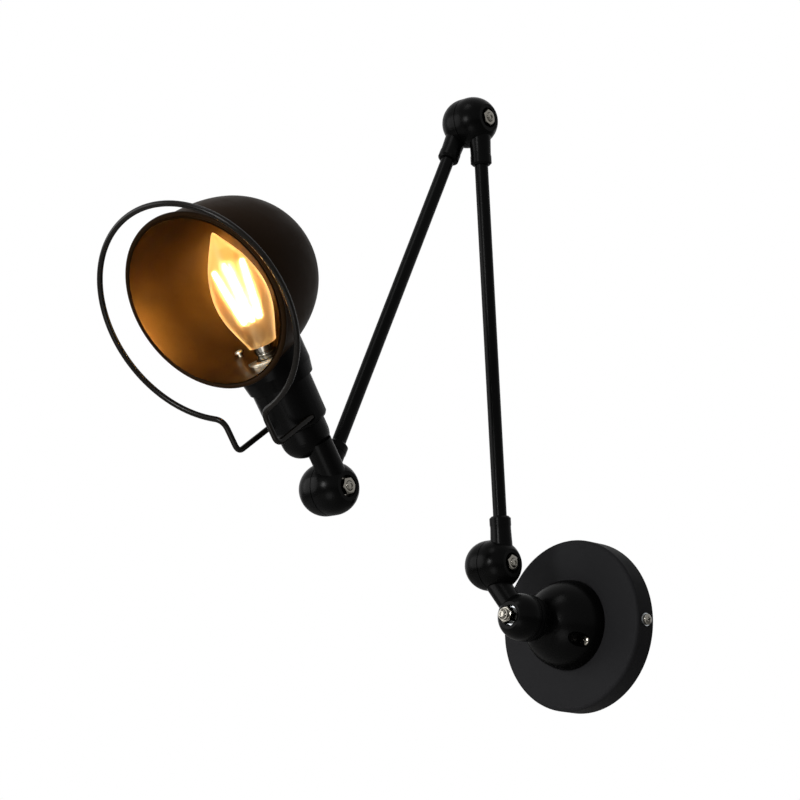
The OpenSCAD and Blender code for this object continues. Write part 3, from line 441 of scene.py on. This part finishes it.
# Geometry Nodes wind a screw thread's crest round the bare core
thread, given = recipe("screw_thread", Turns="Float", Radius="Float", Length="Float", Crest="Float",
                       Finish="Material")
helix = add(thread, "GeometryNodeCurveSpiral",
            {"Resolution": 40, "Rotations": given["Turns"], "Start Radius": given["Radius"],
             "End Radius": given["Radius"], "Height": given["Length"]})
flank = add(thread, "GeometryNodeCurvePrimitiveCircle", {"Resolution": 6, "Radius": given["Crest"]})
ridge = add(thread, "GeometryNodeCurveToMesh",
            {"Curve": helix.outputs["Curve"], "Profile Curve": flank.outputs["Curve"], "Fill Caps": True})
make_real(thread, ridge.outputs["Mesh"], given["Finish"])


def joined(*meshes):
    """One mesh of several, each (mesh, matrix)."""
    work = bmesh.new()
    for mesh, place in meshes:
        mesh.transform(place)
        work.from_mesh(mesh)
    made = bpy.data.meshes.new("joined")
    work.to_mesh(made)
    work.free()
    return made


def bolt(head_rows, from_z, thread_from, tip, d):
    """Bolt along local Z: its head's rows, a plain shank, then a thread to a bevelled end."""
    crest, pitch, chamfer, pit, runout = d * 0.055, d / 6, 0.0007, 0.0006, 0.0009
    core = d / 2 - crest
    end = [(d / 2, from_z), (d / 2, thread_from), (core, thread_from + crest), (core, tip - chamfer),
           (core - chamfer, tip), (d / 4, tip), (d / 4, tip - pit), (0.0, tip - pit)]
    length = tip - runout - thread_from - crest
    winding = grown(bpy.data.meshes.new("none"), thread, Turns=length / pitch, Radius=core, Length=length,
                    Crest=crest)
    return joined((turned(head_rows + end), Matrix()),
                  (winding, Matrix.Translation((0, 0, thread_from + crest))))


HUB_OUT, HUB_BALL_R, RECESS_DEPTH, HUB_WASHER_T = 0.0657674, 0.0162, 0.005, 0.002
DOME_CEILING, HUB_HEAD_H, HUB_THREAD_FROM, HUB_TIP = 0.0400674, 0.004, 0.074, 0.0899674
BOLT_D, NUT_BORE_D, NUT_AF = 0.006, 0.0061, 0.010
LOCK_NUT_H, LOCK_COLLAR_D, LOCK_COLLAR_H, LOCK_NUT_TURN = 0.0075, 0.0082, 0.002, math.radians(12)
head_low = DOME_CEILING - HUB_HEAD_H
head_rows = [(0.0, head_low), (NUT_AF / 2 * TURNED_SHARE, head_low),
             (hexagon(NUT_AF), bevel(NUT_AF, head_low, -1)), (hexagon(NUT_AF), DOME_CEILING)]
set_pieces("hub_long_bolt", bolt(head_rows, DOME_CEILING, HUB_THREAD_FROM, HUB_TIP, BOLT_D), [OUTWARD],
           nickel, "base", "bright_steel", "hub_bolt")
nut_seat = HUB_OUT + HUB_BALL_R - RECESS_DEPTH + HUB_WASHER_T
set_pieces("hub_lock_nut", nut(NUT_AF, LOCK_NUT_H, NUT_BORE_D, LOCK_COLLAR_D, LOCK_COLLAR_H),
           [OUTWARD @ Matrix.Translation((0, 0, nut_seat)) @ Matrix.Rotation(LOCK_NUT_TURN, 4, "Z")],
           nickel, "base", "bright_steel", "hub_nut")
dress(zinc_plate, "hub_washer")


# Friction discs
# Washers punched from vulcanised fibre sheet, between the two halves of each ball, that
# make each joint hold its place.

# Vulcanised fibre is dull brown black and faintly hairy, which scatters what light there is
fibre, tree, shader = finish("vulcanised_fibre", "#2a2521", 0.85)
relief(tree, shader, 0.625, 0.00005)
dress(fibre, "hub_disc", "arm_discs", "head_disc")


# Link
# Cast piece with the turning half of the hub at one end and half of the first ball at
# the other.
dress(cast_black, "link")


# Lower and upper arm
# Steel tubes 9.5 mm across, each pushed into two cast knuckles, with a turned collar at
# each end and the mains cable inside.
dress(cast_black, "lower_knuckle", "lower_elbow", "upper_elbow", "upper_wrist")

# Tube takes the coat thinly, so its peel is finer, 1.1 mm apart
tube_black = powder_coat("black_powder_coat_on_tube", "#040404", 0.28, 0.03, 1.1, 0.00003)
dress(tube_black, "lower_tube", "upper_tube", "lower_collars", "upper_collars")

# Soft PVC is matt, with the drag lines of its die
sheath, tree, shader = finish("soft_pvc_sheath", "#26262a", 0.55)
relief(tree, shader, 0.6667, 0.00002)
dress(sheath, "lower_cable", "upper_cable")


# Ball joint fasteners
# Each ball is clamped by an M6 socket head bolt from the left, with washers in both
# recesses and a nut on the right that shows its bevelled face and the bolt's end.
BALL_1 = Vector((-0.0225, -0.0720674, 0.0375))
BALL_2 = Vector((-0.0225, -0.0995215, 0.3513013))
BALL_3 = Vector((-0.0225, -0.2351325, 0.066987))
ARM_TILT, HEAD_TILT = 5, 36.5
NUT_SEAT, NUT_H, NUT_TURN, JOINT_THREAD_FROM, JOINT_TIP = 0.0135, 0.005, math.radians(9), 0.009, 0.0198
HEAD_H, HEAD_R, HEAD_EDGE, KEY_AF, KEY_DEPTH = 0.0044, 0.005, 0.0005, 0.005, 0.0026
low = -NUT_SEAT - HEAD_H
socket_rows = [(0.0, low + KEY_DEPTH), (hexagon(KEY_AF), low + KEY_DEPTH), (hexagon(KEY_AF), low),
               (HEAD_R - HEAD_EDGE, low), (HEAD_R, low + HEAD_EDGE), (HEAD_R, -NUT_SEAT)]


def across(ball, tilt):
    """Local Z to the right, across an arm that leans by its tilt in degrees."""
    return (Matrix.Translation(ball) @ Matrix.Rotation(math.radians(tilt), 4, "X")
            @ Matrix.Rotation(math.radians(90), 4, "Y"))


arm_ends = [across(BALL_1, ARM_TILT), across(BALL_2, ARM_TILT)]
head_end = [across(BALL_3, HEAD_TILT)]
for name, ends, body, bolts, nuts in (("arm", arm_ends, "lower_arm", "arm_bolts", "arm_nuts"),
                                      ("head", head_end, "head", "head_bolt", "head_nut")):
    set_pieces(name + "_socket_bolts", bolt(socket_rows, -NUT_SEAT, JOINT_THREAD_FROM, JOINT_TIP, BOLT_D), ends,
               nickel, body, "bright_steel", bolts)
    seats = [end @ Matrix.Translation((0, 0, NUT_SEAT)) @ Matrix.Rotation(NUT_TURN, 4, "Z") for end in ends]
    set_pieces(name + "_hex_nuts", nut(NUT_AF, NUT_H, NUT_BORE_D), seats, nickel, body, "bright_steel", nuts)
dress(nickel, "arm_washers", "head_washers")


# Head knuckle
# Casting with half of the last ball, a short neck and the round cup under the housing.
# What follows is laid out on the head's own axis: local Z runs up the housing, and the
# bowl opens towards local -Y.
HEAD_LEAN = 4
HEAD = (Matrix.Translation(BALL_3) @ Matrix.Rotation(math.radians(HEAD_TILT), 4, "X")
        @ Matrix.Rotation(math.radians(HEAD_LEAN), 4, "Z"))
dress(cast_black, "head_knuckle")


# Socket housing and shade collar
# The housing is a drawn steel cup over the lampholder. The collar is a short cast
# sleeve over its mouth, cut to the bowl's curve.
dress(tube_black, "socket_housing", "shade_collar")


# Shade
# A bowl spun from 1 mm sheet steel, its edge rolled round a wire. Stoved black outside,
# and bronze lacquer inside that glows with the lit bulb.
SHADE_R, SHADE_DEPTH, SHADE_WALL, SHADE_POWER, CROWN_R = 0.057, 0.0854, 0.001, 2.6, 0.02
RIM_OUT, SHADE_AXIS_H, BEAD_R, BEAD_OUT = 0.0342, 0.1502, 0.0017, 0.003


def bowl_curve(r, depth, steps=44):
    """Half a superellipse from the rim to the middle of the closed end."""
    turns = [math.radians(90) * i / steps for i in range(steps)]
    share = 2 / SHADE_POWER
    return [(r * math.cos(a) ** share, depth * math.sin(a) ** share) for a in turns] + [(0.0, depth)]


outside = bowl_curve(SHADE_R, SHADE_DEPTH)
inside = bowl_curve(SHADE_R - SHADE_WALL, SHADE_DEPTH - SHADE_WALL)
bead = [(SHADE_R + BEAD_OUT - BEAD_R * (1 - math.cos(a)), BEAD_R + BEAD_R * math.sin(a))
        for a in (math.radians(d) for d in range(168, -177, -16))]
shade_mesh = turned(inside[::-1] + bead[::-1] + outside[1:], 180)

# Stoved enamel is smoother than powder and browner, with peel 1.2 mm apart
enamel = powder_coat("satin_black_enamel", "#180e05", 0.42, 0.012, 1.2, 0.00003)

# Bronze lacquer is a dark brown with a soft lustre, mottled every 14 mm where it pooled
lacquer, tree, shader = finish("bronze_lacquer", "#3e2d14", 0.36, Metallic=0.85, Specular_IOR_Level=0.1,
                               Coat_Weight=0.35, Coat_Roughness=0.22)
tinted(tree, shader, 14.286, "#36260d", "#483619", detail=4.0)
relief(tree, shader, 1.25, 0.00003)

# Faces that look at the bowl's axis, or near its crown towards the mouth, are inside
shade_mesh.materials.append(enamel)
shade_mesh.materials.append(lacquer)
for face in shade_mesh.polygons:
    if math.hypot(face.center.x, face.center.y) > CROWN_R:
        inner = face.normal.x * face.center.x + face.normal.y * face.center.y < 0
    else:
        inner = face.normal.z < 0
    face.material_index = 1 if inner and face.center.z > BEAD_R / 2 else 0
at_rim = Matrix.Translation((0, -RIM_OUT, SHADE_AXIS_H)) @ Matrix.Rotation(math.radians(-90), 4, "X")
shade_mesh.transform(HEAD @ at_rim)
keep("spun_bowl", shade_mesh, "head", "shade_paint", "shade")


# Shade screws
# Two small pan head screws of polished steel inside the bowl that hold it to the collar.
# Their heads are set on the curve of its wall.
SHADE_SCREW_X, SHADE_SCREW_D, SHADE_SCREW_LEN = 0.0218, 0.0024, 0.007
SHADE_HEAD_D, SHADE_HEAD_H, HEAD_CLEAR = 0.0054, 0.0019, 0.0001

# Polished steel is bright and warm by the bulb, with hairline scratches that soften it
polished, tree, shader = finish("polished_steel", "#fffbe8", 0.14, Metallic=1.0)
dulled(tree, shader, 0.8333, 0.22, 0.38, detail=4.0)

edge_out = (RIM_OUT + SHADE_HEAD_D / 2) / (SHADE_DEPTH - SHADE_WALL)
reach = (SHADE_R - SHADE_WALL) * (1 - edge_out ** SHADE_POWER) ** (1 / SHADE_POWER)
seat = SHADE_AXIS_H - math.sqrt(reach ** 2 - (SHADE_SCREW_X + SHADE_HEAD_D / 2) ** 2) + HEAD_CLEAR
set_pieces("shade_pan_screws", pan_screw(SHADE_SCREW_D, SHADE_SCREW_LEN, SHADE_HEAD_D, SHADE_HEAD_H),
           [HEAD @ Matrix.Translation((s * SHADE_SCREW_X, 0, seat)) for s in (-1, 1)], polished,
           "head", "zinc_steel", "shade_screws")


# Lampholder
# Glazed porcelain body on the nipple, with a knurled ring of polished steel round its
# mouth.
HOLDER_R, HOLDER_TOP, RING_R, RING_BORE_R, RING_LIP, RING_T = 0.0126, 0.093, 0.014, 0.0083, 0.005, 0.0035
RIB_COUNT, RIB_R, RIB_START, RIB_SHORT, RING_EDGE = 60, 0.00045, 0.0006, 0.0022, 0.0003
BAND_FROM, BAND_FULL = 0.0012, 0.0011

# Porcelain glaze is a warm white with a wet shine over a slightly wavy body
porcelain, tree, shader = finish("glazed_porcelain", "#e8e4da", 0.18, Coat_Weight=0.6, Coat_Roughness=0.08)
relief(tree, shader, 3.846, 0.00003)
dress(porcelain, "lampholder")

# Geometry Nodes repeat the ribs of the knurling round the ring
knurl, given = recipe("knurled_ring", Ribs="Int", Radius="Float", Height="Float", Rib_radius="Float",
                      Finish="Material")
circle = add(knurl, "GeometryNodeMeshCircle", {"Vertices": given["Ribs"], "Radius": given["Radius"]})
rib = add(knurl, "GeometryNodeMeshCylinder",
          {"Vertices": 8, "Radius": given["Rib radius"], "Depth": given["Height"]})
placed = add(knurl, "GeometryNodeInstanceOnPoints",
             {"Points": circle.outputs["Mesh"], "Instance": rib.outputs["Mesh"]})
make_real(knurl, placed.outputs["Instances"], given["Finish"])

ring_low, ring_top = HOLDER_TOP - RING_LIP, HOLDER_TOP + RING_T
ring_body = turned([(HOLDER_R, ring_low), (RING_R - RIB_R, ring_low), (RING_R - RIB_R, ring_top - BAND_FROM),
                    (RING_R, ring_top - BAND_FULL), (RING_R, ring_top - RING_EDGE),
                    (RING_R - RING_EDGE, ring_top), (RING_BORE_R + RING_EDGE, ring_top),
                    (RING_BORE_R, ring_top - RING_EDGE), (RING_BORE_R, HOLDER_TOP), (HOLDER_R, HOLDER_TOP)],
                   96, closed=True)
rib_h = RING_LIP + RING_T - RIB_SHORT
ribs = grown(bpy.data.meshes.new("none"), knurl, Ribs=RIB_COUNT, Radius=RING_R - RIB_R, Height=rib_h,
             Rib_radius=RIB_R)
ring_mesh = joined((ring_body, Matrix()),
                   (ribs, Matrix.Translation((0, 0, ring_low + RIB_START + rib_h / 2))))
ring_mesh.materials.append(polished)
ring_mesh.transform(HEAD)
keep("knurled_holder_ring", ring_mesh, "head", "bright_steel", "lampholder_ring")


# Bulb
# A lit candle lamp: nickel plated screw cap, clear glass that draws to a point, glass
# stem and four long filaments. Filament light blurs in the glass, so it looks solid.
GLASS_FROM, CAP_LEN, CAP_R, THREAD_H = 0.1055, 0.022, 0.007, 0.00035
CAP_TURNS, CAP_THREAD_LEN, CAP_THREAD_FROM = 4.6, 0.0128, 0.0048

# The cap's outline: contact, slope, threaded shell, and a rolled band under the glass
cap_low = GLASS_FROM - CAP_LEN
core_r = CAP_R - THREAD_H
band_r = core_r + 0.0003
cap = turned([(0.0, cap_low), (0.0029, cap_low), (0.0032, cap_low + 0.0012),
              (core_r - 0.0006, cap_low + 0.004), (core_r, cap_low + 0.0046), (core_r, GLASS_FROM - 0.0042),
              (band_r, GLASS_FROM - 0.0038), (band_r, GLASS_FROM - 0.0003), (core_r, GLASS_FROM),
              (0.0, GLASS_FROM)], 72)
winding = grown(bpy.data.meshes.new("none"), thread, Turns=CAP_TURNS, Radius=core_r, Length=CAP_THREAD_LEN,
                Crest=THREAD_H)
cap_mesh = joined((cap, Matrix()), (winding, Matrix.Translation((0, 0, cap_low + CAP_THREAD_FROM))))
cap_mesh.materials.append(nickel)
cap_mesh.transform(HEAD)
keep("bulb_screw_cap", cap_mesh, "head", "bright_steel", "bulb_cap")

# The glass's outline: radius, and height above its seat in the cap
NECK_R = 0.005
blown = [(0.0092, 0.0), (0.0106, 0.004), (0.0132, 0.011), (0.0160, 0.0195), (0.0174, 0.027), (0.0177, 0.033),
         (0.0172, 0.040), (0.0155, 0.048), (0.0128, 0.056), (0.0094, 0.063), (0.0060, 0.069), (0.0033, 0.0735),
         (0.0015, 0.0765), (0.0, 0.078)]


def eased(points, steps=5):
    """Points of a smooth curve through the given ones."""
    out = []
    for i in range(len(points) - 1):
        p = [Vector(points[min(max(i + k, 0), len(points) - 1)]) for k in (-1, 0, 1, 2)]
        for t in (k / steps for k in range(steps)):
            out.append(0.5 * (2 * p[1] + (p[2] - p[0]) * t + (2 * p[0] - 5 * p[1] + 4 * p[2] - p[3]) * t ** 2
                              + (3 * p[1] - p[0] - 3 * p[2] + p[3]) * t ** 3))
    return [(max(v.x, 0.0), v.y) for v in out] + [points[-1]]


# Blown glass with a golden tint, whose thick, wavy wall spreads the light of the filaments. Its faint golden
# emission is a painted glow for the filament light that the glass scatters
glass_mesh = turned([(NECK_R, 0.0)] + eased(blown), 96)
glass_mesh.transform(HEAD @ Matrix.Translation((0, 0, GLASS_FROM)))
lit_glass, tree, shader = finish("lit_blown_glass", "#ffdfa6", 0.4, IOR=1.28, Transmission_Weight=1.0,
                                 Emission_Color=colour("#ff9d3e"), Emission_Strength=0.05)
glass_mesh.materials.append(lit_glass)
keep("candle_glass", glass_mesh, "head", "clear_glass", "bulb_glass")

# Drawn stem glass is clear and smooth, and only glints where it holds the filaments
stem_glass, tree, shader = finish("drawn_stem_glass", "#e9edf0", 0.05, IOR=1.5, Transmission_Weight=0.9)
dress(stem_glass, "bulb_stem")

# The coated filament strip gives warm light at 2200 K
filament, tree, shader = finish("glowing_filament", "#ffd27a", 0.6, Emission_Color=colour("#ffd08a"),
                                Emission_Strength=70.0)
dress(filament, "filaments")


# Wire guard
# One 3.8 mm steel wire, bent to an open ring before the rim, its two feet sprung into
# the housing. The path is swept by Geometry Nodes.
WIRE_R, GUARD_R, GUARD_OUT, GUARD_H, GUARD_TURN = 0.0019, 0.0732, 0.0444, 0.1468, math.radians(0.6)
FOOT_X, FOOT_H, FOOT_END_OUT, FOOT_BACK = 0.0167, 0.0524, 0.00557, 0.0004
RING_BEND, FOOT_BEND, RING_BEND_TURN, RING_STEPS = 0.007, 0.005, math.radians(5.5), 60


def bent(a, b, c, steps=8):
    """Points of a bend from a to c whose corner would be b."""
    return [(1 - t) ** 2 * a + 2 * t * (1 - t) * b + t ** 2 * c for t in (i / steps for i in range(steps + 1))]


def ring_point(a):
    """Point of the ring, by its angle from the top."""
    a += GUARD_TURN
    return Vector((GUARD_R * math.sin(a), -GUARD_OUT, GUARD_H + GUARD_R * math.cos(a)))


def half_wire(side):
    """The wire from the ring's top, down its left or right side to the end of the foot."""
    drop = GUARD_H - FOOT_H
    corner = Vector((side * FOOT_X * math.cos(GUARD_TURN) - drop * math.sin(GUARD_TURN), FOOT_BACK - GUARD_OUT,
                     GUARD_H - drop * math.cos(GUARD_TURN) - side * FOOT_X * math.sin(GUARD_TURN)))
    end = Vector((side * FOOT_X, -FOOT_END_OUT, FOOT_H))
    ring_end = math.pi - math.asin(FOOT_X / GUARD_R)
    meet = ring_point(side * ring_end)
    down = (corner - meet).normalized()
    inward = (end - corner).normalized()
    stop = ring_end - RING_BEND_TURN
    return ([ring_point(side * stop * i / RING_STEPS) for i in range(RING_STEPS)]
            + bent(ring_point(side * stop), meet, meet + RING_BEND * down)
            + bent(corner - FOOT_BEND * down, corner, corner + FOOT_BEND * inward) + [end])


route = half_wire(-1)[:0:-1] + half_wire(1)
wire_line = bpy.data.meshes.new("wire_line")
wire_line.from_pydata([HEAD @ p for p in route], [(i, i + 1) for i in range(len(route) - 1)], [])

# Dipped enamel runs smooth on a wire: glossier than the rest, with peel 0.9 mm apart
wire_black = powder_coat("dipped_black_enamel", "#0a0806", 0.26, 0.08, 0.9, 0.00002)

# Geometry Nodes sweep a round bar along the wire's path
sweep, given = recipe("bent_wire", Geometry="Geometry", Wire_radius="Float", Sides="Int", Finish="Material")
line = add(sweep, "GeometryNodeMeshToCurve", {"Mesh": given["Geometry"]})
round_bar = add(sweep, "GeometryNodeCurvePrimitiveCircle",
                {"Resolution": given["Sides"], "Radius": given["Wire radius"]})
wire = add(sweep, "GeometryNodeCurveToMesh",
           {"Curve": line.outputs["Curve"], "Profile Curve": round_bar.outputs["Curve"], "Fill Caps": True})
smooth = add(sweep, "GeometryNodeSetShadeSmooth", {"Geometry": wire.outputs["Mesh"]})
make_real(sweep, smooth.outputs["Geometry"], given["Finish"])
guard_mesh = grown(wire_line, sweep, Wire_radius=WIRE_R, Sides=24, Finish=wire_black)
keep("bent_guard_wire", guard_mesh, "head", "black_sheet", "wire_guard")
